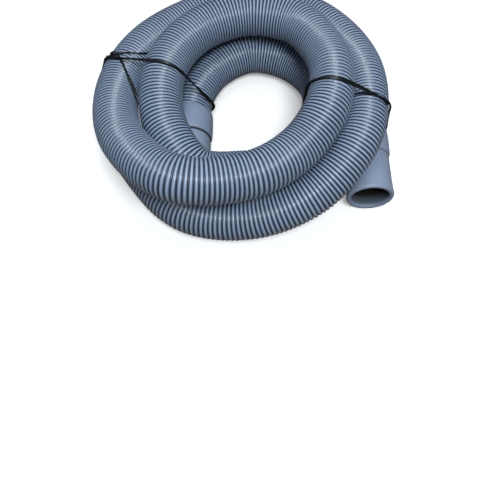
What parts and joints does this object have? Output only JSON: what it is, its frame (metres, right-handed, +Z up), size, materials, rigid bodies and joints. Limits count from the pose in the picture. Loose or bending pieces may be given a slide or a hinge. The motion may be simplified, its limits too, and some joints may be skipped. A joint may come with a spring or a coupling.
{
  "type": "washing machine drain hose",
  "caption": "Grey corrugated drain hose for a washing machine, with a smooth push-on cuff on each end, coiled flat and held by thin black twist ties.",
  "frame": {"origin": "on the floor, under the middle of the coiled hose", "axes": "+Z up, square to the coil; -Y towards the two cuff mouths; +X towards the outer end cuff"},
  "size_m": [0.1802, 0.1904, 0.0677],
  "materials": {
    "hose": "satin",
    "cuff": "satin",
    "tie": "satin"
  },
  "bodies": {
    "root": {"corrugated_hose": "hose", "inner_end_cuff": "cuff", "outer_end_cuff": "cuff", "left_twist_tie": "tie", "right_twist_tie": "tie"}
  },
  "joints": []
}
